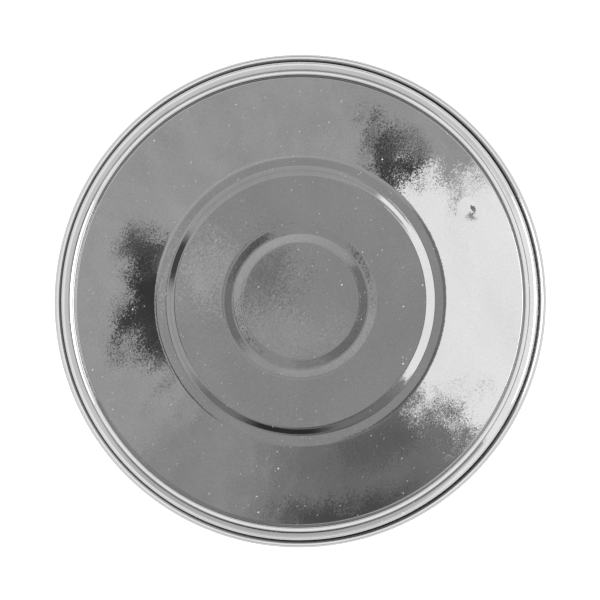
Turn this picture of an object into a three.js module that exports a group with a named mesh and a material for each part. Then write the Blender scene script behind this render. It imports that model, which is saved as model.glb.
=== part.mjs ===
// A round candle tin of bright tinplate: a seamless drawn body and a slip-on lid.
// Millimetres, +Z up. The origin is the centre of the circle that the tin stands on.
import * as THREE from "three";

// ---- Overall sizes ----
const OVERALL_DIAMETER = 80.0; // across the rolled lower edge of the lid
const OVERALL_HEIGHT = 54.0; // from the foot to the crest of the lid's bead, closed
const SHEET = 0.25; // thickness of the tinplate

// ---- Lid ----
const LID_DEPTH = 13.0; // from the bead's crest to the bottom of the rolled edge
const LID_ROLL = 1.95; // diameter of the rolled edge
const BEAD_WIDTH = 2.4; // from the edge of the panel to the middle of the skirt's sheet
const BEAD_HEIGHT = 1.15; // of the crest above the edge of the panel
const BEAD_RADIUS = 0.575; // outside radius on both sides of the crest
const BEAD_STEEPNESS = (4 / 9) * Math.PI; // slope of the bead's inner flank
const CREST_SLANT = (2 / 45) * Math.PI; // how far the top of the bead slopes outwards
const MOAT_SLOPE = Math.PI / 4; // slope of the panel's dip at the foot of the bead
const MOAT_RUN = 0.1; // straight part of that slope
const MOAT_EDGE_RADIUS = 0.25; // at mid-sheet, where the panel turns down
const MOAT_FOOT_RADIUS = 0.21; // at mid-sheet, where the moat turns up into the bead
const STEP_DIAMETER = 41.85; // to the middle of the step round the raised centre
const STEP_WIDTH = 1.6;
const STEP_DROP = 0.12;
const LAND_WIDTH = 1.5; // level band outside the step
const PANEL_FALL = 0.5; // how far the panel falls from the land to its edge
const LID_ROLL_TURN = (17 / 12) * Math.PI; // how far the edge turns: it stays open to the skirt

// ---- Pressed ring grooves ----
const SMALL_RING_DIAMETER = 21.65; // to the middle of the groove, on the lid and on the base
const LARGE_RING_DIAMETER = 43.6; // on the base
const RING_WIDTH = 3.05;
const RING_DEPTH = 0.05;

// ---- Body ----
const BASE_RECESS = 1.0; // how far the base panel stands above the foot
const FOOT_FLAT = 0.6; // width of the flat that the tin stands on
const FOOT_INNER_RADIUS = 0.7; // outside radius between the foot and the recessed base
const FOOT_CORNER_RADIUS = 1.8; // outside radius between the foot and the wall
const RIM_ROLL = 1.2; // diameter of the rolled top rim
const RIM_ROLL_TURN = (5 / 3) * Math.PI; // how far the rim turns: it stays open to the neck
const SHOULDER_RADIUS = 0.75; // radius of both bends of the shoulder, at mid-sheet

// ---- Clearances between lid and body ----
const SKIRT_CLEARANCE = 0.3; // rolled rim to the inside of the skirt
const RIM_HEADROOM = 0.3; // rolled rim to the underside of the panel's edge
const SHOULDER_DROP = 0.4; // full-width wall to the bottom of the lid's rolled edge

// ---- Fineness ----
const AROUND = 48; // flats round the axis, a multiple of four
const BEND_STEP = Math.PI / 6; // turn of one flat in a bend or in the rolled rim
const LID_ROLL_STEP = Math.PI / 12; // turn of one flat in the lid's rolled edge
const QUARTER = Math.PI / 2;

// ---- Sizes that follow from the ones above ----
const HALF_SHEET = SHEET / 2;
const wallRadius = OVERALL_DIAMETER / 2 - (LID_ROLL - SHEET); // flush with the lid's skirt
const lidBottom = OVERALL_HEIGHT - LID_DEPTH;
const panelEdgeTop = OVERALL_HEIGHT - BEAD_HEIGHT;
const rimTop = panelEdgeTop - SHEET - RIM_HEADROOM;
const rimRadius = wallRadius - SHEET - SKIRT_CLEARANCE;
const neckRadius = rimRadius - (RIM_ROLL - SHEET);
const shoulderBottom = lidBottom - SHOULDER_DROP;

function polar(radius, angle) {
  return new THREE.Vector2(radius * Math.cos(angle), radius * Math.sin(angle));
}

/**
 * The middle line of a pressed sheet in the (radius, height) plane, drawn from the axis outwards
 * as straight runs and bends. Each point keeps the direction of the line there, so that both
 * faces of the sheet lie half a thickness to either side.
 */
class SheetLine {
  constructor(height) {
    this.place = new THREE.Vector2(0, height);
    this.heading = 0;
    this.points = [];
    this.mark();
  }

  mark() {
    this.points.push({ place: this.place.clone(), heading: this.heading });
  }

  runTo(radius, height) {
    this.place.set(radius, height);
    this.mark();
  }

  // Straight on along the heading, as far as a radius or a height.
  onToRadius(radius) {
    this.runTo(radius, this.place.y + (radius - this.place.x) * Math.tan(this.heading));
  }

  onToHeight(height) {
    this.runTo(this.place.x + (height - this.place.y) / Math.tan(this.heading), height);
  }

  // A bend of the middle line: a positive turn is to the left of the heading.
  bend(radius, turn, step = BEND_STEP) {
    const side = this.heading + Math.sign(turn) * QUARTER;
    const centre = this.place.clone().add(polar(radius, side));
    const start = this.heading;
    const steps = Math.max(1, Math.round(Math.abs(turn) / step));
    for (let i = 1; i <= steps; i += 1) {
      const turned = (turn * i) / steps;
      this.place.copy(centre).add(polar(radius, side + Math.PI + turned));
      this.heading = start + turned;
      this.mark();
    }
  }

  // A V groove pressed across a level run. rise is its depth, signed along the height.
  groove(diameter, rise) {
    const level = this.place.y;
    const middle = diameter / 2;
    this.runTo(middle - RING_WIDTH / 2, level);
    this.runTo(middle, level + rise);
    this.runTo(middle + RING_WIDTH / 2, level);
  }

  // One face of the sheet: a positive offset is to the left of the heading.
  face(offset) {
    return this.points.map(({ place, heading }) => {
      return place.clone().add(polar(offset, heading + QUARTER));
    });
  }
}

// Lid: raised centre with one ring groove, a step down to a level land, a panel that falls gently
// to a narrow moat, the bead, the skirt, and a lower edge rolled outwards.
function lidLine() {
  const skirt = wallRadius - HALF_SHEET;
  const panelEdge = skirt - BEAD_WIDTH;
  const landHeight = panelEdgeTop - HALF_SHEET + PANEL_FALL;
  const stepEnd = (STEP_DIAMETER + STEP_WIDTH) / 2;
  const line = new SheetLine(landHeight + STEP_DROP);
  line.groove(SMALL_RING_DIAMETER, -RING_DEPTH);
  line.runTo(stepEnd - STEP_WIDTH, landHeight + STEP_DROP);
  line.runTo(stepEnd, landHeight);
  line.runTo(stepEnd + LAND_WIDTH, landHeight);
  line.runTo(panelEdge, landHeight - PANEL_FALL);
  line.bend(MOAT_EDGE_RADIUS, -MOAT_SLOPE);
  line.onToRadius(line.place.x + MOAT_RUN * Math.cos(MOAT_SLOPE));
  line.bend(MOAT_FOOT_RADIUS, MOAT_SLOPE + BEAD_STEEPNESS);
  addBead(line, skirt);
  line.runTo(skirt, lidBottom + LID_ROLL / 2);
  line.bend(LID_ROLL / 2 - HALF_SHEET, LID_ROLL_TURN, LID_ROLL_STEP);
  return line;
}

// From the moat up over the crest of the bead, and round into the skirt.
function addBead(line, skirt) {
  const bend = BEAD_RADIUS - HALF_SHEET;
  const crest = OVERALL_HEIGHT - HALF_SHEET;
  line.onToHeight(crest - bend * (1 - Math.cos(BEAD_STEEPNESS)));
  line.bend(bend, -BEAD_STEEPNESS);
  line.bend(bend, -CREST_SLANT);
  line.onToRadius(skirt - bend * (1 - Math.sin(CREST_SLANT)));
  line.bend(bend, CREST_SLANT - QUARTER);
}

// Body: recessed base with two ring grooves, foot, wall, shoulder, neck, and a rim rolled outwards.
function bodyLine() {
  const base = BASE_RECESS + HALF_SHEET;
  const wall = wallRadius - HALF_SHEET;
  const neck = neckRadius - HALF_SHEET;
  const footInnerBend = FOOT_INNER_RADIUS - HALF_SHEET;
  const footCornerBend = FOOT_CORNER_RADIUS - HALF_SHEET;
  const recessBend = BASE_RECESS - footInnerBend;
  const footEdge = wall - footCornerBend;
  const line = new SheetLine(base);
  line.groove(SMALL_RING_DIAMETER, RING_DEPTH);
  line.groove(LARGE_RING_DIAMETER, RING_DEPTH);
  line.runTo(footEdge - FOOT_FLAT - footInnerBend - recessBend, base);
  line.bend(recessBend, -QUARTER);
  line.bend(footInnerBend, QUARTER);
  line.runTo(footEdge, HALF_SHEET);
  line.bend(footCornerBend, QUARTER);
  line.runTo(wall, shoulderBottom);
  line.bend(SHOULDER_RADIUS, QUARTER);
  line.runTo(neck + SHOULDER_RADIUS, shoulderBottom + SHOULDER_RADIUS);
  line.bend(SHOULDER_RADIUS, -QUARTER);
  line.runTo(neck, rimTop - RIM_ROLL / 2);
  line.bend(RIM_ROLL / 2 - HALF_SHEET, -RIM_ROLL_TURN);
  return line;
}

// A sheet spun round the axis: out along its right face, back along its left.
function tinplatePiece(name, line, colour) {
  const outline = [...line.face(-HALF_SHEET), ...line.face(HALF_SHEET).reverse()];
  const shell = new THREE.LatheGeometry(outline, AROUND).rotateX(QUARTER);
  const tinplate = new THREE.MeshStandardMaterial({ color: colour, roughness: 0.14, metalness: 1.0 });
  const piece = new THREE.Mesh(shell, tinplate);
  piece.name = name;
  return piece;
}

const tin = new THREE.Group();
tin.add(tinplatePiece("tin_body", bodyLine(), 0xc4c4c4));
tin.add(tinplatePiece("lid", lidLine(), 0xc9c9c9));

export default tin;
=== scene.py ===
import logging
import math
from collections.abc import Callable, Mapping, Sequence
from dataclasses import dataclass
from enum import Enum

import bpy
import numpy as np
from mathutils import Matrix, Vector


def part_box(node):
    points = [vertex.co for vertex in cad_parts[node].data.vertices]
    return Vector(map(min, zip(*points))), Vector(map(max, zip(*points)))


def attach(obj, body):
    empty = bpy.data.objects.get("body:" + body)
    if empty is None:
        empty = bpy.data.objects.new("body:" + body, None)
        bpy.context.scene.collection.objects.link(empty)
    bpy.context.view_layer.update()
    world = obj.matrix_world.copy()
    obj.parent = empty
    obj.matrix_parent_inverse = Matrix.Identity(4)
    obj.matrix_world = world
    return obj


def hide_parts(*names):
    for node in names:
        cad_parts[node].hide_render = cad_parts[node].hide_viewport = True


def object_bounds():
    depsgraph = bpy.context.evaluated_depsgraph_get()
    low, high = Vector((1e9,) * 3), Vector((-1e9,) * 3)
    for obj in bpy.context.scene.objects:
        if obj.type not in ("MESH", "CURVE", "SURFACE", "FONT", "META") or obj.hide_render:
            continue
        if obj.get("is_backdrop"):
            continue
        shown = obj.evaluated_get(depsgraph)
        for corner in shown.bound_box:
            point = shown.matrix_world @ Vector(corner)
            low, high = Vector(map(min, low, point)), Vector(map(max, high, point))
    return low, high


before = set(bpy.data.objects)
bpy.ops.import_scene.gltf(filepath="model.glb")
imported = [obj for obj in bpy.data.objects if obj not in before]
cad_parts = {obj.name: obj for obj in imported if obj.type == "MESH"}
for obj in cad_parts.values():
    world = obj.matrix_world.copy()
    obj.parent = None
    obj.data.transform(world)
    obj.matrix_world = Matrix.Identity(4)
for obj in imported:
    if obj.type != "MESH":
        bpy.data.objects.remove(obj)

MM = 0.001
MICRON = 0.000001
QUARTER = math.pi / 2
AROUND = 240  # flats round the axis on both pieces
BEND_STEP = math.radians(7.5)  # turn of one flat in a bend or a rolled edge

log = logging.getLogger("candle_tin")


class Piece(Enum):
    """The two pieces of the tin: each one's value is its CAD node, which is also its body."""

    BODY = "tin_body"
    LID = "lid"


class Face(Enum):
    """A face of the sheet, by its side of the middle line as the line runs outwards."""

    RIGHT = -1
    LEFT = 1


# ---- Shader nodes ----


class Wire:
    """An output of a shader node, which ordinary arithmetic carries further as a number."""

    def __init__(self, nodes: "Nodes", socket: bpy.types.NodeSocket) -> None:
        """Keeps the socket and the node tree that it belongs to."""
        self.nodes = nodes
        self.socket = socket

    def output(self, name: str) -> "Wire":
        """Returns another output of the same node."""
        return Wire(self.nodes, self.socket.node.outputs[name])

    def __add__(self, other: "Wire | float") -> "Wire":
        """Returns the sum."""
        return self.nodes.maths("ADD", self, other)

    def __sub__(self, other: "Wire | float") -> "Wire":
        """Returns the difference."""
        return self.nodes.maths("SUBTRACT", self, other)

    def __rsub__(self, other: float) -> "Wire":
        """Returns a plain number less this one."""
        return self.nodes.maths("SUBTRACT", other, self)

    def __mul__(self, other: "Wire | float") -> "Wire":
        """Returns the product."""
        return self.nodes.maths("MULTIPLY", self, other)

    def __truediv__(self, other: "Wire | float") -> "Wire":
        """Returns the quotient."""
        return self.nodes.maths("DIVIDE", self, other)

    __radd__ = __add__
    __rmul__ = __mul__

    def size(self) -> "Wire":
        """Returns the number without its sign."""
        return self.nodes.maths("ABSOLUTE", self)

    def root(self) -> "Wire":
        """Returns the square root."""
        return self.nodes.maths("SQRT", self)

    def at_least(self, low: float) -> "Wire":
        """Returns the number, or low where it is smaller."""
        return self.nodes.maths("MAXIMUM", self, low)

    def rises(self, low: float, high: float) -> "Wire":
        """Returns a smooth mask.

        Args:
            low: Where the mask is still nothing.
            high: Where the mask is whole. Below low, the mask falls instead of rising.

        Returns:
            A number from 0 to 1.
        """
        start, end = (0.0, 1.0) if high > low else (1.0, 0.0)
        sockets = {"Value": self, "From Min": min(low, high), "From Max": max(low, high)}
        sockets |= {"To Min": start, "To Max": end}
        return self.nodes.add("ShaderNodeMapRange", {"interpolation_type": "SMOOTHSTEP"}, sockets)

    def within(self, low: float, high: float, soft: float) -> "Wire":
        """Returns a mask that is whole from low to high, with both its edges soft."""
        return self.rises(low - soft, low + soft) * self.rises(high + soft, high - soft)


class Nodes:
    """A node tree that grows one node at a time."""

    def __init__(self, tree: bpy.types.NodeTree) -> None:
        """Empties the tree."""
        self.tree = tree
        tree.nodes.clear()

    def add(
        self,
        kind: str,
        settings: Mapping[str, object] | None = None,
        sockets: Mapping[str | int, object] | None = None,
    ) -> Wire:
        """Adds a node.

        Args:
            kind: The node's type.
            settings: Its own settings, which are made first.
            sockets: The value or the wire that goes into each socket, by name or by number.

        Returns:
            The node's first output that is in use, or its first input if it has no output.
        """
        node = self.tree.nodes.new(kind)
        for name, setting in (settings or {}).items():
            setattr(node, name, setting)
        for key, value in (sockets or {}).items():
            if isinstance(value, Wire):
                self.tree.links.new(value.socket, node.inputs[key])
            else:
                node.inputs[key].default_value = value
        ends = [end for end in node.outputs if end.enabled] or list(node.inputs)
        return Wire(self, ends[0])

    def place(self, output: str) -> tuple[Wire, Wire, Wire]:
        """Reads one of the texture coordinates.

        Args:
            output: The name of the coordinates.

        Returns:
            Its three numbers.
        """
        coordinates = self.add("ShaderNodeTexCoord").output(output)
        parts = self.add("ShaderNodeSeparateXYZ", None, {0: coordinates})
        return parts, parts.output("Y"), parts.output("Z")

    def maths(self, operation: str, *numbers: Wire | float) -> Wire:
        """Returns the result of a Math node on some numbers."""
        return self.add("ShaderNodeMath", {"operation": operation}, dict(enumerate(numbers)))

    def vector(self, x: Wire | float, y: Wire | float, z: Wire | float) -> Wire:
        """Returns three numbers as one vector."""
        return self.add("ShaderNodeCombineXYZ", None, {0: x, 1: y, 2: z})

    def join(self, operation: str, *vectors: Wire | Sequence[float]) -> Wire:
        """Returns the result of a Vector Math node on some vectors."""
        return self.add("ShaderNodeVectorMath", {"operation": operation}, dict(enumerate(vectors)))

    def grey(self, tone: Wire, blue: float = 1.0) -> Wire:
        """Returns a tone as a colour, with its blue a little stronger or weaker."""
        return self.add("ShaderNodeCombineColor", None, {0: tone, 1: tone, 2: tone * blue})

    def noise(self, place: Wire, scale: float, detail: float) -> Wire:
        """Returns a noise from 0 to 1 at a place, with so many features in a unit of length."""
        return self.add("ShaderNodeTexNoise", None, {"Vector": place, "Scale": scale, "Detail": detail})


@dataclass(frozen=True)
class Streaks:
    """A noise drawn out one way, such as a rolling mill's grain."""

    lean: float  # its long way, in degrees from +Y towards -X
    across: float  # how many features there are in a unit of length across it
    along: float  # the same along it
    detail: float

    def noise(self, nodes: Nodes, x: Wire, y: Wire, third: Wire | float) -> Wire:
        """Adds the noise.

        Args:
            nodes: The node tree.
            x: The place along X.
            y: The place along Y.
            third: The third number of the place, already in features.

        Returns:
            A number from 0 to 1.
        """
        lean = math.radians(self.lean)
        across = x * math.cos(lean) + y * math.sin(lean)
        along = y * math.cos(lean) - x * math.sin(lean)
        place = nodes.vector(across * self.across, along * self.along, third)
        return nodes.noise(place, 1.0, self.detail)


# ---- Finishes ----


@dataclass(frozen=True)
class ShadedCrease:
    """A narrow crease darkened with painted shade, by its radii and heights in metres."""

    inner: float
    outer: float
    low: float
    high: float
    painted_shade: float  # how much of the light the painted shade takes


@dataclass(frozen=True)
class Scratches:
    """Fine scratches, which lie in a few directions and in patches."""

    ways: tuple[tuple[float, float], ...] = ((0.35, 3.1), (1.25, 7.7), (2.4, 12.3))  # angle and shift
    across: float = 4200.0  # features in a metre across a scratch
    along: float = 110.0  # the same along it
    climb: float = 0.3  # how far a scratch on a wall moves aside as it climbs
    thin: tuple[float, float] = (0.80, 0.86)  # the noise's range in which a scratch fades in
    patch: float = 90.0  # patches in a metre
    patchy: tuple[float, float] = (0.58, 0.68)  # the noise's range in which a patch fades in

    def mask(self, nodes: Nodes, x: Wire, y: Wire, z: Wire) -> Wire:
        """Works out where the scratches are.

        Args:
            nodes: The material's nodes.
            x: The place along X.
            y: The place along Y.
            z: The height.

        Returns:
            The mask.
        """
        total: Wire | float = 0.0
        for angle, shift in self.ways:
            across = x * math.cos(angle) + y * math.sin(angle) + z * self.climb
            along = y * math.cos(angle) - x * math.sin(angle)
            line = nodes.noise(nodes.vector(across * self.across, along * self.along, shift), 1.0, 0.0)
            place = nodes.vector(x * self.patch, y * self.patch, z * self.patch + shift)
            patch = nodes.noise(place, 1.0, 1.0)
            total = line.rises(*self.thin) * patch.rises(*self.patchy) + total
        return total


@dataclass(frozen=True)
class Dust:
    """White dust on the level parts: round specks, and short bits of lint."""

    scale: float = 300.0  # places in a metre that may hold a speck
    held: tuple[float, float] = (0.86, 0.9)  # the range of chance in which one does
    smallest: float = 0.018  # radius of a speck, as a part of the distance between places
    growth: float = 0.025  # how much larger the largest one is
    edge: tuple[float, float] = (1.2, 0.6)  # from outside a speck to inside it, in its radii
    faintest: float = 0.3
    brightening: float = 0.6  # how much brighter the brightest one is
    lint: Streaks = Streaks(lean=-36.87, across=5200.0, along=1300.0, detail=0.0)
    lint_shift: float = 5.0
    lint_held: tuple[float, float] = (0.8, 0.86)
    lint_strength: float = 0.4

    def mask(self, nodes: Nodes, x: Wire, y: Wire) -> Wire:
        """Works out where the dust is.

        Args:
            nodes: The material's nodes.
            x: The place along X.
            y: The place along Y.

        Returns:
            The mask.
        """
        settings = {"voronoi_dimensions": "2D", "feature": "F1", "distance": "EUCLIDEAN"}
        sockets = {"Vector": nodes.vector(x, y, 0.0), "Scale": self.scale}
        cell = nodes.add("ShaderNodeTexVoronoi", settings, sockets)
        chance = nodes.add("ShaderNodeSeparateColor", None, {0: cell.output("Color")})
        radius = chance.output("Green") * self.growth + self.smallest
        strength = chance.output("Blue") * self.brightening + self.faintest
        specks = (cell / radius).rises(*self.edge) * chance.rises(*self.held) * strength
        lint = self.lint.noise(nodes, x, y, self.lint_shift)
        return specks + lint.rises(*self.lint_held) * self.lint_strength


@dataclass(frozen=True)
class Relief:
    """The fine relief of rolled and pressed tinplate. Heights are in microns."""

    grain: float  # height of the rolling mill's grain
    swell: float  # height of the gentle unevenness under it
    speckle: float  # how far the normals of the fine pits stray, as a slope
    draw_lines: float  # height of the lines that the die left round the walls
    grain_noise: Streaks = Streaks(lean=-25.0, across=3000.0, along=750.0, detail=2.0)
    grain_ridges: tuple[float, float] = (0.58, 0.74)  # the noise's range that stands up as ridges
    hair_noise: Streaks = Streaks(lean=-36.87, across=2600.0, along=500.0, detail=1.0)
    hair_ridges: tuple[float, float] = (0.62, 0.74)
    hair_height: float = 0.7  # as a part of a ridge's height
    ridge_height: float = 0.8  # as a part of the grain's height
    swell_noise: Streaks = Streaks(lean=-25.0, across=350.0, along=90.0, detail=1.0)
    pits: float = 5400.0  # pits in a metre
    line_turn: float = 12.0  # features in a metre along the drawn lines
    line_rise: float = 3000.0  # drawn lines in a metre of height
    line_detail: float = 3.0
    scratch_depth: float = 0.15

    def normal(self, nodes: Nodes, x: Wire, y: Wire, z: Wire, on_wall: Wire, scratch: Wire) -> Wire:
        """Works out the normal.

        Args:
            nodes: The material's nodes.
            x: The place along X.
            y: The place along Y.
            z: The height.
            on_wall: The mask of the walls.
            scratch: The mask of the scratches.

        Returns:
            The normal.
        """
        grain = self.grain_noise.noise(nodes, x, y, z * self.grain_noise.across)
        hairs = self.hair_noise.noise(nodes, x, y, z * self.hair_noise.across)
        ridges = grain.rises(*self.grain_ridges) + hairs.rises(*self.hair_ridges) * self.hair_height
        swell = self.swell_noise.noise(nodes, x, y, z * self.swell_noise.across)
        level = grain * self.grain + ridges * (self.ridge_height * self.grain) + swell * self.swell
        round_wall = nodes.vector(x * self.line_turn, y * self.line_turn, z * self.line_rise)
        lines = nodes.noise(round_wall, 1.0, self.line_detail) * self.draw_lines
        height = level * (1.0 - on_wall) + lines * on_wall - scratch * self.scratch_depth
        sockets = {"Strength": 1.0, "Distance": MICRON, "Height": height}
        smooth = nodes.add("ShaderNodeBump", None, sockets)
        sockets = {"Vector": nodes.vector(x, y, z), "Scale": self.pits}
        pits = nodes.add("ShaderNodeTexVoronoi", None, sockets).output("Color")
        stray = nodes.join("SUBTRACT", pits, (0.5, 0.5, 0.5))
        stray = nodes.join("MULTIPLY", stray, (self.speckle,) * 3)
        return nodes.join("NORMALIZE", nodes.join("ADD", smooth, stray))


@dataclass(frozen=True)
class Tinplate:
    """Bright tinplate: nearly a mirror, with stains, dulled places, dust, and painted shade in its
    creases.
    """

    name: str
    colour: float  # how much of the light it gives back
    roughness: float
    relief: Relief
    scuffs: float  # how strongly handling has dulled it, from 0 to 1
    wall: float  # radius from which the sheet counts as wall, in metres
    # narrow creases whose tone is darkened with painted shade
    creases: tuple[ShadedCrease, ...]
    wall_edge: float = 0.2 * MM  # width over which level sheet turns into wall
    crease_edge: float = 0.05 * MM  # how softly the painted shade in a crease ends
    mottle: float = 0.16  # how much the tone varies from place to place
    stain_noise: Streaks = Streaks(lean=19.885, across=160.0, along=60.0, detail=5.0)
    spot_scale: float = 3600.0  # fine spots in a metre
    spots: float = 0.9  # how strong the spots are beside the stains
    scratches: Scratches = Scratches()
    scratch_tone: float = 0.06  # how much darker and rougher a scratch is
    dust: Dust = Dust()
    dust_tone: float = 0.9
    dust_roughness: float = 0.6
    blue: float = 1.002  # how much stronger blue is than red
    scuff_scale: float = 90.0  # dulled places in a metre
    scuff_detail: float = 6.0
    scuffed: tuple[float, float] = (0.48, 0.72)  # the noise's range in which a scuff fades in
    scuff_roughness: float = 0.05
    wall_roughness: float = 0.04  # what drawing adds to the walls

    def build(self) -> bpy.types.Material:
        """Makes the material.

        Returns:
            The finished material.
        """
        material = bpy.data.materials.new(self.name)
        material.use_nodes = True
        nodes = Nodes(material.node_tree)
        x, y, z = nodes.place("Object")
        radius = (x * x + y * y).root()
        on_wall = radius.rises(self.wall - self.wall_edge, self.wall)
        scratch = self.scratches.mask(nodes, x, y, z)
        dust = self.dust.mask(nodes, x, y) * (1.0 - on_wall)
        tone = self._tone(nodes, x, y, z) - scratch * self.scratch_tone
        # painted shade: the tone is darkened inside each crease
        for crease in self.creases:
            across = radius.within(crease.inner, crease.outer, self.crease_edge)
            inside = across * z.within(crease.low, crease.high, self.crease_edge)
            tone = tone * (1.0 - inside * crease.painted_shade)
        tone = tone + (self.dust_tone - tone) * dust
        dull = self._scuff(nodes, x, y, z) * (self.scuff_roughness * self.scuffs)
        dull = dull + scratch * self.scratch_tone + on_wall * self.wall_roughness
        sockets = {
            "Base Color": nodes.grey(tone, self.blue),
            "Metallic": 1.0 - dust,
            "Roughness": self.roughness + dull + dust * self.dust_roughness,
            "Normal": self.relief.normal(nodes, x, y, z, on_wall, scratch),
        }
        shader = nodes.add("ShaderNodeBsdfPrincipled", None, sockets)
        nodes.add("ShaderNodeOutputMaterial", None, {"Surface": shader})
        return material

    def _tone(self, nodes: Nodes, x: Wire, y: Wire, z: Wire) -> Wire:
        """Works out how much light the sheet gives back.

        Args:
            nodes: The material's nodes.
            x: The place along X.
            y: The place along Y.
            z: The height.

        Returns:
            The tone, with its stains and spots.
        """
        stain = self.stain_noise.noise(nodes, x, y, z * self.stain_noise.across) - 0.5
        spot = nodes.noise(nodes.vector(x, y, z), self.spot_scale, 1.0) - 0.5
        return self.colour + (stain + spot * self.spots) * self.mottle

    def _scuff(self, nodes: Nodes, x: Wire, y: Wire, z: Wire) -> Wire:
        """Returns the mask of the dulled places."""
        return nodes.noise(nodes.vector(x, y, z), self.scuff_scale, self.scuff_detail).rises(*self.scuffed)


@dataclass(frozen=True)
class TableTop:
    """A pale table, evenly lit, so that it looks white and the tin mirrors a softer tone of it."""

    reach: float = 2.5  # from its middle to each side
    gap: float = 0.05 * MM  # to the tin's foot
    colour: float = 0.79
    glow: float = 0.72  # what the lit table adds to its own colour
    fibres: float = 900.0  # in a metre
    fibre_tone: float = 0.02
    fibre_height: float = 0.02 * MM
    roughness: float = 0.7

    def build(self, low: float) -> bpy.types.Object:
        """Makes the table top.

        Args:
            low: The height of the foot of the tin.

        Returns:
            The table top.
        """
        reach = self.reach
        corners = [(-reach, -reach), (reach, -reach), (reach, reach), (-reach, reach)]
        mesh = bpy.data.meshes.new("table")
        mesh.from_pydata([(x, y, low - self.gap) for x, y in corners], [], [(0, 1, 2, 3)])
        table = bpy.data.objects.new("table", mesh)
        bpy.context.scene.collection.objects.link(table)
        mesh.materials.append(self._material())
        table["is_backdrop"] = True
        return table

    def _material(self) -> bpy.types.Material:
        """Makes the material of the table top.

        Returns:
            The finished material.
        """
        material = bpy.data.materials.new("pale_table")
        material.use_nodes = True
        nodes = Nodes(material.node_tree)
        fibre = nodes.noise(nodes.vector(*nodes.place("Object")), self.fibres, 4.0)
        seen = nodes.add("ShaderNodeLightPath")
        relief = {"Distance": self.fibre_height, "Height": fibre}
        sockets = {
            "Base Color": nodes.grey(self.colour + fibre * self.fibre_tone),
            "Roughness": self.roughness,
            "Emission Color": nodes.grey(seen * self.glow),
            "Emission Strength": 1.0,
            "Normal": nodes.add("ShaderNodeBump", None, relief),
        }
        shader = nodes.add("ShaderNodeBsdfPrincipled", None, sockets)
        nodes.add("ShaderNodeOutputMaterial", None, {"Surface": shader})
        return material


# ---- Pressed sheet ----


class SheetLine:
    """The middle line of a pressed sheet, from the axis outwards, in radius and height.

    Each point keeps the heading of the line there, so that both faces of the sheet lie half a
    thickness to either side.
    """

    def __init__(self, sheet: float) -> None:
        """Starts an empty line for a sheet of this thickness."""
        self.sheet = sheet
        self.radii: list[float] = []
        self.heights: list[float] = []
        self.headings: list[float] = []
        self.heading = 0.0

    def _mark(self, radius: float, height: float, heading: float) -> None:
        """Adds one point."""
        self.radii.append(radius)
        self.heights.append(height)
        self.headings.append(heading)
        self.heading = heading

    def follow(self, radii: np.ndarray, height: Callable[[np.ndarray], np.ndarray]) -> None:
        """Adds a run whose height depends on the radius.

        Args:
            radii: The radii of its points.
            height: Gives the height at each radius.
        """
        small = 0.001 * MM
        slopes = (height(radii + small) - height(radii - small)) / (2 * small)
        for radius, level, slope in zip(radii, height(radii), slopes):
            self._mark(float(radius), float(level), math.atan(slope))

    def run(self, radius: float, height: float, steps: int = 1) -> None:
        """Adds a straight run to a point.

        Args:
            radius: The radius of its end.
            height: The height of its end.
            steps: How many lengths it is cut into.
        """
        start, low = self.radii[-1], self.heights[-1]
        heading = math.atan2(height - low, radius - start)
        for i in range(1, steps + 1):
            part = i / steps
            self._mark(start + (radius - start) * part, low + (height - low) * part, heading)

    def ahead(self, length: float) -> None:
        """Adds a straight run of this length along the present heading."""
        end_r = self.radii[-1] + length * math.cos(self.heading)
        self._mark(end_r, self.heights[-1] + length * math.sin(self.heading), self.heading)

    def bend(self, radius: float, turn: float) -> None:
        """Adds a bend.

        Args:
            radius: The radius of the bend at mid-sheet.
            turn: How far the line turns, in radians, positive to the left.
        """
        side = self.heading + math.copysign(QUARTER, turn)
        centre_r = self.radii[-1] + radius * math.cos(side)
        centre_z = self.heights[-1] + radius * math.sin(side)
        start = self.heading
        steps = max(2, round(abs(turn) / BEND_STEP))
        for i in range(1, steps + 1):
            turned = turn * i / steps
            angle = side + math.pi + turned
            end_r = centre_r + radius * math.cos(angle)
            end_z = centre_z + radius * math.sin(angle)
            self._mark(end_r, end_z, start + turned)

    def face(self, side: Face) -> np.ndarray:
        """Gives one face of the sheet.

        Args:
            side: Which face.

        Returns:
            The radius and height of each of its points.
        """
        normals = np.array(self.headings) + QUARTER
        offset = side.value * self.sheet / 2
        radii = np.array(self.radii) + offset * np.cos(normals)
        radii[0] = 0.0
        return np.column_stack([radii, np.array(self.heights) + offset * np.sin(normals)])


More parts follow.
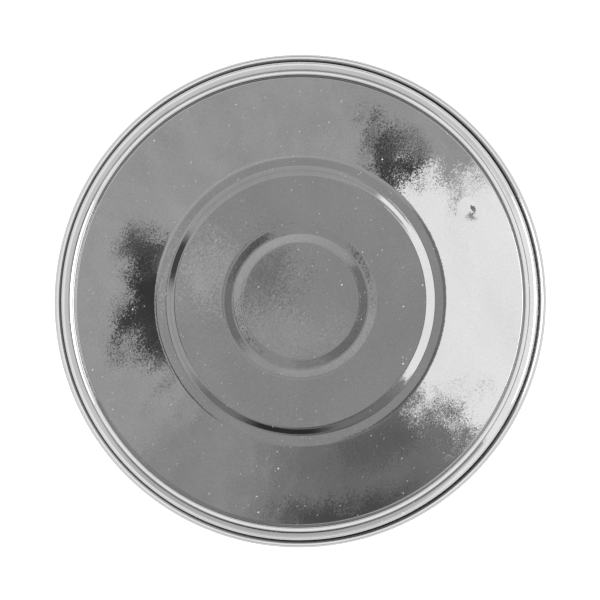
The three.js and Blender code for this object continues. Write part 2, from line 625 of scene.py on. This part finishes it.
@dataclass
class Spinner:
    """Spins the outline of a sheet round the axis into one closed mesh."""

    around: int = AROUND
    sharp: float = math.radians(50)  # edges that turn by more than this stay sharp

    def spin(
        self, name: str, outline: np.ndarray, unevenness: Callable[[np.ndarray], np.ndarray]
    ) -> bpy.types.Object:
        """Makes the mesh.

        Args:
            name: The new piece's name.
            outline: Radius and height of each point, from the axis and back to it.
            unevenness: Takes all the points and gives them as the real sheet has them.

        Returns:
            The new piece, smooth but for its cut edge.
        """
        angles = np.arange(self.around) * (2 * math.pi / self.around)
        rings = outline[1:-1]
        points = np.empty((len(rings), self.around, 3))
        points[..., 0] = rings[:, :1] * np.cos(angles)
        points[..., 1] = rings[:, :1] * np.sin(angles)
        points[..., 2] = rings[:, 1:]
        poles = np.array([[0.0, 0.0, outline[0, 1]], [0.0, 0.0, outline[-1, 1]]])
        places = unevenness(np.concatenate([points.reshape(-1, 3), poles]))
        mesh = bpy.data.meshes.new(name)
        mesh.from_pydata(places.tolist(), [], self._faces(len(rings)))
        mesh.polygons.foreach_set("use_smooth", [True] * len(mesh.polygons))
        mesh.set_sharp_from_angle(angle=self.sharp)
        mesh.validate()
        piece = bpy.data.objects.new(name, mesh)
        bpy.context.scene.collection.objects.link(piece)
        return piece

    def _faces(self, rings: int) -> list[list[int]]:
        """Lists the faces.

        Args:
            rings: How many rings of points there are between the two points on the axis.

        Returns:
            The corners of each face, whose order makes it look outwards.
        """
        here = np.arange(self.around)
        beyond = np.roll(here, -1)
        first = rings * self.around
        faces = np.column_stack([np.full(self.around, first), beyond, here]).tolist()
        for ring in range(rings - 1):
            low = ring * self.around
            high = low + self.around
            corners = [here + low, beyond + low, beyond + high, here + high]
            faces += np.column_stack(corners).tolist()
        last = (rings - 1) * self.around
        faces += np.column_stack([here + last, beyond + last, np.full(self.around, first + 1)]).tolist()
        return faces


def smooth_step(values: np.ndarray, low: float, high: float) -> np.ndarray:
    """Rises from 0 to 1.

    Args:
        values: Where it is wanted.
        low: Where it is still 0.
        high: Where it has reached 1.

    Returns:
        The height of the step at each value.
    """
    part = np.clip((values - low) / (high - low), 0.0, 1.0)
    return part * part * (3.0 - 2.0 * part)


def ramp(values: np.ndarray, start: float, corner: float) -> np.ndarray:
    """Rises as fast as its values from a start on.

    Args:
        values: Where it is wanted.
        start: The middle of the corner with which it begins.
        corner: Half the width that the corner takes.

    Returns:
        The height of the ramp at each value.
    """
    part = np.clip((values - start + corner) / (2 * corner), 0.0, 1.0)
    return corner * part * part + np.maximum(values - start - corner, 0.0)


def flank(values: np.ndarray, low: float, high: float, corner: float) -> np.ndarray:
    """Rises from 0 to 1 along a straight flank whose two corners are rounded.

    Args:
        values: Where it is wanted.
        low: The middle of the lower corner.
        high: The middle of the upper corner.
        corner: Half the width that each corner takes.

    Returns:
        The height of the flank at each value.
    """
    return (ramp(values, low, corner) - ramp(values, high, corner)) / (high - low)


def spaced(runs: Sequence[tuple[float, float]], edge: float) -> np.ndarray:
    """Spaces points outwards from the axis.

    Args:
        runs: Where each run of points ends, and how far apart they are, in millimetres.
        edge: The radius of one last point, in metres.

    Returns:
        The radii in metres.
    """
    radii = []
    start = 0.0
    for end, step in runs:
        radii.append(np.arange(start, end, step))
        start = end
    return np.append(np.concatenate(radii) * MM, edge)


@dataclass(frozen=True)
class Unevenness:
    """How the pressed sheet strays from a true round: a little oval, leaning, and gently rippled."""

    oval: float = 0.003  # the longer radius is larger by this part
    long_way: float = math.radians(60)  # where the longer radius points
    flat: tuple[float, float] = (34 * MM, 36 * MM)  # radii over which the panel turns into the rim
    ripple: float = 0.0009 * MM  # height of one ripple
    ripple_lengths: tuple[float, ...] = (26, 21, 17, 13, 11, 9, 7.5, 6.5)  # in millimetres
    even_length: float = 13.0  # the length of the ripple that has just that height, in millimetres
    ripple_spread: float = 0.45  # how far their directions stray from X, in radians
    lean: float = 0.12 * MM  # how far the top of the rim leans towards -X
    upright: tuple[float, float] = (43 * MM, 53 * MM)  # heights over which the lean sets in
    dents: tuple[tuple[float, float, float, float], ...] = ()  # x, y, radius and depth of each
    seed: int = 11

    def __call__(self, points: np.ndarray) -> np.ndarray:
        """Moves every point of a piece.

        Args:
            points: The points of the true round.

        Returns:
            The points as they are on the real sheet.
        """
        x, y = points[:, 0], points[:, 1]
        stretch = 1.0 + self.oval * np.cos(2 * (np.arctan2(y, x) - self.long_way))
        flat = 1.0 - smooth_step(np.hypot(x, y), *self.flat)
        moved = points.copy()
        moved[:, 0] = x * stretch
        moved[:, 1] = y * stretch
        moved[:, 2] += self._ripples(x, y) * flat
        moved[:, 0] -= self.lean * (1.0 - flat) * smooth_step(points[:, 2], *self.upright)
        for at_x, at_y, size, depth in self.dents:
            moved[:, 2] -= depth * np.exp(-((x - at_x) ** 2 + (y - at_y) ** 2) / size**2)
        return moved

    def _ripples(self, x: np.ndarray, y: np.ndarray) -> np.ndarray:
        """Adds up the ripples, which run mostly along the mill's grain.

        Args:
            x: Where along X.
            y: Where along Y.

        Returns:
            The height of the sheet there.
        """
        chance = np.random.default_rng(self.seed)
        total = np.zeros_like(x)
        for length in self.ripple_lengths:
            lean = chance.normal(0.0, self.ripple_spread)
            phase = chance.uniform(0.0, 2 * math.pi)
            across = x * math.cos(lean) + y * math.sin(lean)
            total += (length / self.even_length) * np.sin(2 * math.pi * across / (length * MM) + phase)
        return total * self.ripple


# ---- The two pieces ----


@dataclass
class Lid:
    """The slip-on lid: its pressed panel, the bead round it, the skirt and the rolled edge."""

    radius: float
    top: float
    bottom: float
    finish: Tinplate
    sheet: float = 0.25 * MM
    roll: float = 1.95 * MM
    roll_turn: float = math.radians(255)  # the rolled edge stays open to the skirt
    bead: float = 1.0 * MM
    bead_bend: float = 0.45 * MM  # at mid-sheet, on both sides of its crest
    brow_bend: float = 0.3 * MM  # at mid-sheet, where its inner flank starts to turn
    brow: float = math.radians(28)  # slope of the short run between those two bends
    brow_run: float = 0.2 * MM
    bead_steepness: float = math.radians(80)  # of its inner flank
    crest_slant: float = math.radians(8)  # its crest slopes outwards
    fillet: float = 0.15 * MM
    panel_edge: float = 35.78 * MM
    moat_bend: float = 0.2 * MM
    moat_slope: float = math.radians(45)  # of the panel's dip at the foot of the bead
    moat_run: float = 0.02 * MM
    step_radius: float = 20.925 * MM
    step_width: float = 1.6 * MM
    step_drop: float = 0.12 * MM
    land_width: float = 1.5 * MM
    panel_fall: float = 0.5 * MM
    even_fall: float = 0.86  # the part of the fall that is even: the rest grows outwards
    fall_corner: float = 0.4 * MM
    ring_inner: float = 9.4 * MM
    ring_middle: float = 10.9 * MM
    ring_outer: float = 12.35 * MM
    ring_depth: float = 0.042 * MM
    ring_corner: float = 0.16 * MM
    creases: tuple[tuple[float, float], ...] = (
        (9.55 * MM, 0.0008 * MM),
        (10.9 * MM, 0.0015 * MM),
        (12.7 * MM, 0.0012 * MM),
    )  # radius and height of each fine line that the edge of a die left
    crease_width: float = 0.07 * MM
    dents: tuple[tuple[float, float, float, float], ...] = (
        (-21.3 * MM, 29.0 * MM, 1.0 * MM, 0.02 * MM),
        (27.1 * MM, 14.5 * MM, 0.8 * MM, 0.05 * MM),
    )  # x, y, radius and depth of each
    point_runs: tuple[tuple[float, float], ...] = (
        (9.2, 0.55),
        (12.9, 0.07),
        (19.8, 0.5),
        (21.9, 0.07),
        (23.0, 0.2),
        (24.2, 0.08),
        (35.58, 0.42),
    )  # where each run of the panel's points ends, and their spacing, in millimetres
    under_points: int = 3  # the panel's under face keeps one in so many points
    under_edge: float = 35 * MM  # as far as this radius

    def build(self) -> bpy.types.Object:
        """Makes the lid and puts it in place of its CAD node.

        Returns:
            The lid.
        """
        line = self._line()
        under, over = line.face(Face.RIGHT), line.face(Face.LEFT)
        outline = np.concatenate([self._thinned(under), over[::-1]])
        piece = Spinner().spin("lid_shell", outline, Unevenness(dents=self.dents))
        piece.data.materials.append(self.finish.build())
        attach(piece, Piece.LID.value)
        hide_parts(Piece.LID.value)
        return piece

    def _thinned(self, face: np.ndarray) -> np.ndarray:
        """Thins out the points of the panel's under face, which needs fewer than the upper one.

        Args:
            face: The radius and height of each point of the under face.

        Returns:
            The points that it keeps.
        """
        kept = [i for i in range(len(face)) if i % self.under_points == 0 or face[i, 0] > self.under_edge]
        return face[kept]

    def _line(self) -> SheetLine:
        """Draws the middle line of the sheet.

        Returns:
            The line of the panel, moat, bead, skirt and rolled edge.
        """
        half = self.sheet / 2
        skirt = self.radius - self.roll + half
        crest = self.top - half
        slant, steep, dip = self.crest_slant, self.bead_steepness, self.moat_slope
        line = SheetLine(self.sheet)
        line.follow(spaced(self.point_runs, self.panel_edge), self._panel_height)
        line.heading = 0.0
        line.bend(self.moat_bend, -dip)
        line.ahead(self.moat_run)
        line.bend(self.fillet + half / 2, dip + steep)
        brow = self.brow
        turned = self.brow_bend * (math.cos(brow) - math.cos(steep)) + self.brow_run * math.sin(brow)
        rise = crest - self.bead_bend * (1 - math.cos(brow)) - turned - line.heights[-1]
        line.ahead(rise / math.sin(steep))
        line.bend(self.brow_bend, brow - steep)
        line.ahead(self.brow_run)
        line.bend(self.bead_bend, -brow - slant)
        level = skirt - self.bead_bend * (1 - math.sin(slant))
        line.ahead((level - line.radii[-1]) / math.cos(slant))
        line.bend(self.bead_bend, slant - QUARTER)
        line.run(skirt, self.bottom + self.roll / 2, steps=14)
        line.bend(self.roll / 2 - half, self.roll_turn)
        return line

    def _panel_height(self, radii: np.ndarray) -> np.ndarray:
        """Gives the panel's height at mid-sheet.

        Args:
            radii: Where it is wanted.

        Returns:
            The height at each radius.
        """
        low = self.top - self.bead - self.fillet - self.sheet / 2
        step_end = self.step_radius + self.step_width / 2
        land_end = step_end + self.land_width
        part = ramp(radii, land_end, self.fall_corner) / (self.panel_edge - land_end)
        fall = self.panel_fall * (self.even_fall * part + (1 - self.even_fall) * part**2)
        height = low + self.panel_fall - fall
        height += self.step_drop * (1 - smooth_step(radii, step_end - self.step_width, step_end))
        into = flank(radii, self.ring_inner, self.ring_middle, self.ring_corner)
        back = flank(radii, self.ring_middle, self.ring_outer, self.ring_corner)
        height -= self.ring_depth * (into - back)
        for radius, rise in self.creases:
            height += rise * np.exp(-(((radii - radius) / self.crease_width) ** 2))
        return height


@dataclass
class Body:
    """The seamless drawn body: its recessed base, foot, wall, shoulder, neck and rolled rim."""

    radius: float
    rim_top: float
    lid_bottom: float
    finish: Tinplate
    sheet: float = 0.25 * MM
    base_recess: float = 1.0 * MM
    foot_flat: float = 0.6 * MM
    foot_inner: float = 0.7 * MM
    foot_corner: float = 1.8 * MM
    rim_roll: float = 1.2 * MM
    rim_turn: float = math.radians(300)  # the rolled rim stays open to the neck
    neck_gap: float = 1.5 * MM  # the neck's outside to the wall's outside
    shoulder_bend: float = 0.75 * MM
    shoulder_drop: float = 0.4 * MM
    rings: tuple[float, ...] = (10.825 * MM, 21.8 * MM)
    ring_width: float = 3.05 * MM
    ring_rise: float = 0.05 * MM
    ring_corner: float = 0.16 * MM
    point_runs: tuple[tuple[float, float], ...] = (
        (9.0, 1.0),
        (12.6, 0.2),
        (19.8, 0.8),
        (23.8, 0.2),
    )  # where each run of the base's points ends, and their spacing, in millimetres
    last_run: tuple[float, float] = (0.4, 1.0)  # how far from the edge one more run ends, and its spacing

    def build(self) -> bpy.types.Object:
        """Makes the body and puts it in place of its CAD node.

        Returns:
            The body.
        """
        line = self._line()
        outline = np.concatenate([line.face(Face.RIGHT), line.face(Face.LEFT)[::-1]])
        piece = Spinner().spin("tin_shell", outline, Unevenness(seed=5))
        piece.data.materials.append(self.finish.build())
        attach(piece, Piece.BODY.value)
        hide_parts(Piece.BODY.value)
        return piece

    def _line(self) -> SheetLine:
        """Draws the middle line of the sheet.

        Returns:
            The line of the base, foot, wall, shoulder, neck and rolled rim.
        """
        half = self.sheet / 2
        wall = self.radius - half
        neck = self.radius - self.neck_gap - half
        inner_bend = self.foot_inner - half
        corner_bend = self.foot_corner - half
        recess_bend = self.base_recess - inner_bend
        foot_edge = wall - corner_bend
        base_edge = foot_edge - self.foot_flat - inner_bend - recess_bend
        shoulder = self.lid_bottom - self.shoulder_drop
        line = SheetLine(self.sheet)
        clear, spacing = self.last_run
        runs = (*self.point_runs, (base_edge / MM - clear, spacing))
        line.follow(spaced(runs, base_edge), self._base_height)
        line.heading = 0.0
        line.bend(recess_bend, -QUARTER)
        line.bend(inner_bend, QUARTER)
        line.run(foot_edge, half, steps=2)
        line.bend(corner_bend, QUARTER)
        line.run(wall, shoulder, steps=12)
        line.bend(self.shoulder_bend, QUARTER)
        line.run(neck + self.shoulder_bend, shoulder + self.shoulder_bend)
        line.bend(self.shoulder_bend, -QUARTER)
        line.run(neck, self.rim_top - self.rim_roll / 2, steps=8)
        line.bend(self.rim_roll / 2 - half, -self.rim_turn)
        return line

    def _base_height(self, radii: np.ndarray) -> np.ndarray:
        """Gives the base's height at mid-sheet, with its rings pressed upwards.

        Args:
            radii: Where it is wanted.

        Returns:
            The height at each radius.
        """
        height = np.full_like(radii, self.base_recess + self.sheet / 2)
        for middle in self.rings:
            up = flank(radii, middle - self.ring_width / 2, middle, self.ring_corner)
            down = flank(radii, middle, middle + self.ring_width / 2, self.ring_corner)
            height += self.ring_rise * (up - down)
        return height


# ---- The studio ----


@dataclass(frozen=True)
class Card:
    """A lamp or a dark card over the table, by the direction in which it lies from the tin."""

    bearing: float  # degrees anticlockwise from +X
    spread: float  # half its width, in degrees of bearing
    near: float  # its edge nearest the vertical, in degrees
    far: float  # its other edge
    light: float  # how bright it is
    soft: float = 0.06  # softness of those two edges, in degrees
    side_soft: float = 0.7  # softness of its sides, in degrees of bearing


@dataclass(frozen=True)
class Studio:
    """A white tent over the table, grey round its opening overhead, with lamps and dark cards."""

    overhead: float = 0.29
    tent: float = 0.95
    opening: tuple[float, float] = (14.5, 22.0)  # its edge, in degrees off the vertical
    lowest: float = 0.02  # a direction with a smaller Z than this counts as having it
    low_light: float = 0.55  # from low down, on average
    low_slant: tuple[float, float] = (-0.07, -0.1)  # how much more of it comes from +X, and from +Y
    low_sides: float = 0.2  # how much more of it comes along X than along Y
    low_edge: tuple[float, float] = (66.0, 84.0)  # degrees over which it takes the place of the tent
    ragged: Streaks = Streaks(lean=-20.0, across=300.0, along=62.0, detail=5.0)  # the cards' edges
    ragged_bearing: float = 52.0  # how far they stray in bearing, in degrees
    ragged_off: float = 1.8  # how far they stray towards the vertical, in degrees
    ragged_least: float = 0.15  # what is left of it right overhead
    ragged_near: tuple[float, float] = (1.0, 5.0)  # degrees over which it grows
    ragged_far: tuple[float, float] = (14.0, 8.0)  # degrees over which it fades
    cloth: Streaks = Streaks(lean=-20.0, across=210.0, along=90.0, detail=3.0)
    cloth_shift: float = 4.0
    weave: Streaks = Streaks(lean=-20.0, across=1100.0, along=1100.0, detail=1.0)
    weave_shift: float = 2200.0
    weave_strength: float = 2.2  # beside the cloth's own folds
    cloth_far: tuple[float, float] = (16.0, 9.0)  # degrees over which the cloth turns even
    cloth_bright: tuple[float, float] = (0.8, 0.5)  # light in which it looks even
    cloth_strength: float = 0.5
    cloth_least: float = 0.03  # what is left of it in bright light
    cards: tuple[Card, ...] = (
        Card(95, 60, near=2.2, far=14.0, light=0.36, soft=1.0, side_soft=20),
        Card(180, 42, near=2.0, far=14.0, light=0.38, soft=1.0, side_soft=10),
        Card(135, 55, near=2.6, far=4.2, light=0.42, soft=0.3, side_soft=14),
        Card(345, 50, near=2.2, far=4.5, light=0.18, soft=0.2, side_soft=10),
        Card(164, 17, near=0.78, far=1.3, light=0.41, soft=0.12, side_soft=6),
        Card(148, 36, near=0.22, far=0.62, light=0.19, side_soft=8),
        Card(262, 52, near=0.26, far=0.62, light=0.37, side_soft=8),
        Card(294, 32, near=4.0, far=11.0, light=0.18, soft=0.3, side_soft=14),
        Card(300, 14, near=5.4, far=6.4, light=0.13, soft=0.3, side_soft=5),
        Card(282, 16, near=7.0, far=9.0, light=0.08, soft=0.2, side_soft=7),
        Card(202, 28, near=2.6, far=3.6, light=0.08, soft=0.3, side_soft=8),
        Card(318, 24, near=2.6, far=3.6, light=0.10, soft=0.3, side_soft=8),
        Card(183, 27, near=4.4, far=5.95, light=0.12),
        Card(183, 18, near=4.4, far=6.0, light=0.045),
        Card(161, 4, near=5.4, far=6.6, light=0.07),
        Card(188, 6, near=5.6, far=6.6, light=0.05),
        Card(161, 11, near=10.0, far=16.0, light=0.06, soft=1.0, side_soft=5),
        Card(120, 100, near=15.5, far=22.0, light=0.67, soft=1.5, side_soft=12),
        Card(262, 42, near=15.5, far=22.0, light=0.5, soft=1.5, side_soft=12),
        Card(272, 28, near=22.0, far=45.0, light=0.6, soft=3.0, side_soft=12),
        Card(268, 50, near=9.0, far=16.0, light=0.18, soft=0.8, side_soft=9),
        Card(264, 18, near=11.0, far=16.0, light=0.03, soft=0.8, side_soft=8),
        Card(55, 7, near=4.7, far=6.7, light=0.05, soft=0.08, side_soft=0.5),
        Card(65, 2, near=5.9, far=6.9, light=0.08, soft=0.1, side_soft=0.5),
        Card(42, 11, near=12.2, far=16.0, light=0.94, soft=0.5, side_soft=2),
        Card(38, 9.5, near=4.75, far=6.4, light=0.94, soft=0.08),
        Card(359, 36, near=4.75, far=58.0, light=0.94),
        Card(320, 2.5, near=5.8, far=6.5, light=0.94, side_soft=0.5),
        Card(316, 1.2, near=5.4, far=5.8, light=0.7, side_soft=0.5),
        Card(324, 3.5, near=6.15, far=6.9, light=0.13, side_soft=0.5),
        Card(31, 9, near=16.5, far=22.0, light=0.74, soft=1.0, side_soft=5),
    )

    def build_surroundings(self) -> None:
        """Makes the world that lights the tin and is mirrored in it."""
        world = bpy.data.worlds.new("white_tent")
        bpy.context.scene.world = world
        world.use_nodes = True
        nodes = Nodes(world.node_tree)
        x, y, z = nodes.place("Generated")
        up = z.at_least(self.lowest)
        across, along = x / up, y / up
        spread = (across * across + along * along).root()
        off = nodes.maths("ARCTANGENT", spread) * math.degrees(1.0)
        stray = self.ragged.noise(nodes, across, along, 0.0) - 0.5
        stray = stray * (off.rises(*self.ragged_near) * (1.0 - self.ragged_least) + self.ragged_least)
        stray = stray * off.rises(*self.ragged_far)
        light = self.overhead + (self.tent - self.overhead) * off.rises(*self.opening)
        light = light + (self._low_light(nodes, across, along) - light) * off.rises(*self.low_edge)
        for card in self.cards:
            light = light + (card.light - light) * self._mask(card, nodes, (across, along), off, stray)
        cloth = self.cloth.noise(nodes, across, along, self.cloth_shift) - 0.5
        weave = self.weave.noise(nodes, across, along, self.weave_shift) - 0.5
        uneven = (cloth + weave * self.weave_strength) * off.rises(*self.cloth_far)
        strength = light.rises(*self.cloth_bright) * self.cloth_strength + self.cloth_least
        light = light * (1.0 + uneven * strength)
        seen = nodes.add("ShaderNodeLightPath")
        sockets = {"Color": (1.0, 1.0, 1.0, 1.0), "Strength": light + (1.0 - light) * seen}
        sky = nodes.add("ShaderNodeBackground", None, sockets)
        nodes.add("ShaderNodeOutputWorld", None, {"Surface": sky})

    def _low_light(self, nodes: Nodes, across: Wire, along: Wire) -> Wire:
        """Works out the light from low down, which differs from side to side.

        Args:
            nodes: The world's nodes.
            across: The place on a level plane overhead, along X.
            along: The same, along Y.

        Returns:
            How bright it is.
        """
        bearing = nodes.maths("ARCTAN2", along, across)
        slant_x, slant_y = self.low_slant
        slant = nodes.maths("COSINE", bearing) * slant_x + nodes.maths("SINE", bearing) * slant_y
        return self.low_light + slant + nodes.maths("COSINE", bearing * 2.0) * self.low_sides

    def _mask(self, card: Card, nodes: Nodes, place: tuple[Wire, Wire], off: Wire, stray: Wire) -> Wire:
        """Works out where a card hangs.

        Args:
            card: The card.
            nodes: The world's nodes.
            place: The place on a level plane overhead, along X and along Y.
            off: The angle off the vertical, in degrees.
            stray: How far the card's edges stray there.

        Returns:
            A mask, from 0 to 1.
        """
        turn = math.radians(card.bearing)
        across, along = place
        ahead = across * math.cos(turn) + along * math.sin(turn)
        aside = along * math.cos(turn) - across * math.sin(turn)
        bearing = nodes.maths("ARCTAN2", aside, ahead) * math.degrees(1.0)
        side = (bearing + stray * self.ragged_bearing).size()
        sides = side.rises(card.spread + card.side_soft, card.spread - card.side_soft)
        return sides * (off + stray * self.ragged_off).within(card.near, card.far, card.soft)


@dataclass(frozen=True)
class Lamp:
    """The soft lamp at the right."""

    size: float = 0.9
    energy: float = 6.0
    tilt: float = math.radians(38)  # off the vertical, towards +X
    distance: float = 1.6

    def build(self, middle: np.ndarray) -> bpy.types.Object:
        """Hangs the lamp.

        Args:
            middle: The middle of the tin.

        Returns:
            The lamp.
        """
        data = bpy.data.lights.new("soft_lamp", "AREA")
        data.shape = "DISK"
        data.size = self.size
        data.energy = self.energy
        lamp = bpy.data.objects.new("soft_lamp", data)
        bpy.context.scene.collection.objects.link(lamp)
        lamp.location = middle + self.distance * np.array([math.sin(self.tilt), 0.0, math.cos(self.tilt)])
        lamp.rotation_euler = (0.0, self.tilt, 0.0)
        return lamp


@dataclass(frozen=True)
class Viewpoint:
    """The camera, straight above the lid."""

    height: float = 0.9  # above the top of the lid
    width: float = 96.2 * MM  # of the picture, at the top of the lid
    aside: tuple[float, float] = (-0.06 * MM, 0.18 * MM)
    sensor: float = 36.0  # in millimetres
    clip: tuple[float, float] = (0.01, 20.0)

    def build(self, middle: np.ndarray, top: float) -> bpy.types.Object:
        """Makes the camera.

        Args:
            middle: The middle of the tin.
            top: The height of the top of the lid.

        Returns:
            The camera.
        """
        data = bpy.data.cameras.new("camera")
        data.sensor_width = self.sensor
        data.lens = self.sensor * self.height / self.width
        data.clip_start, data.clip_end = self.clip
        camera = bpy.data.objects.new("camera", data)
        bpy.context.scene.collection.objects.link(camera)
        camera.location = (middle[0] + self.aside[0], middle[1] + self.aside[1], top + self.height)
        bpy.context.scene.camera = camera
        return camera


def main() -> None:
    """Builds the tin and its studio."""
    cad_low, cad_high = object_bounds()
    lid_low, lid_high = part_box(Piece.LID.value)
    _, body_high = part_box(Piece.BODY.value)
    middle = (np.array(cad_low) + np.array(cad_high)) / 2
    lid_finish = Tinplate(
        name="lid_tinplate",
        colour=0.79,
        roughness=0.02,
        relief=Relief(grain=0.2, swell=2.4, speckle=0.0034, draw_lines=0.8),
        scuffs=0.4,
        wall=38.2 * MM,
        # painted shade in the crease between the panel and the bead, and in the gap between the skirt and
        # the rolled edge
        creases=(
            ShadedCrease(35.9 * MM, 36.36 * MM, 51.5 * MM, 53.1 * MM, 0.5),
            ShadedCrease(38.35 * MM, 39.3 * MM, 41.0 * MM, 42.55 * MM, 0.7),
        ),
    )
    body_finish = Tinplate(
        name="body_tinplate",
        colour=0.77,
        roughness=0.04,
        relief=Relief(grain=0.2, swell=2.4, speckle=0.0034, draw_lines=1.2),
        scuffs=0.8,
        wall=38.0 * MM,
        # painted shade in the crease where the base's recess meets the foot
        creases=(ShadedCrease(34.9 * MM, 35.4 * MM, 0.0, 1.2 * MM, 0.4),),
    )
    lid = Lid(radius=lid_high[0], top=lid_high[2], bottom=lid_low[2], finish=lid_finish)
    body = Body(radius=body_high[0], rim_top=body_high[2], lid_bottom=lid_low[2], finish=body_finish)
    for piece in (body.build(), lid.build()):
        log.info("%s: %d faces", piece.name, len(piece.data.polygons))
    Studio().build_surroundings()
    for piece in (TableTop().build(cad_low[2]), Lamp().build(middle)):
        log.info("%s is in place", piece.name)
    camera = Viewpoint().build(middle, cad_high[2])
    log.info("%s at %s", camera.name, tuple(camera.location))
    bpy.context.scene.view_settings.view_transform = "Standard"


if __name__ == "__main__":
    logging.basicConfig(level=logging.INFO)
    main()
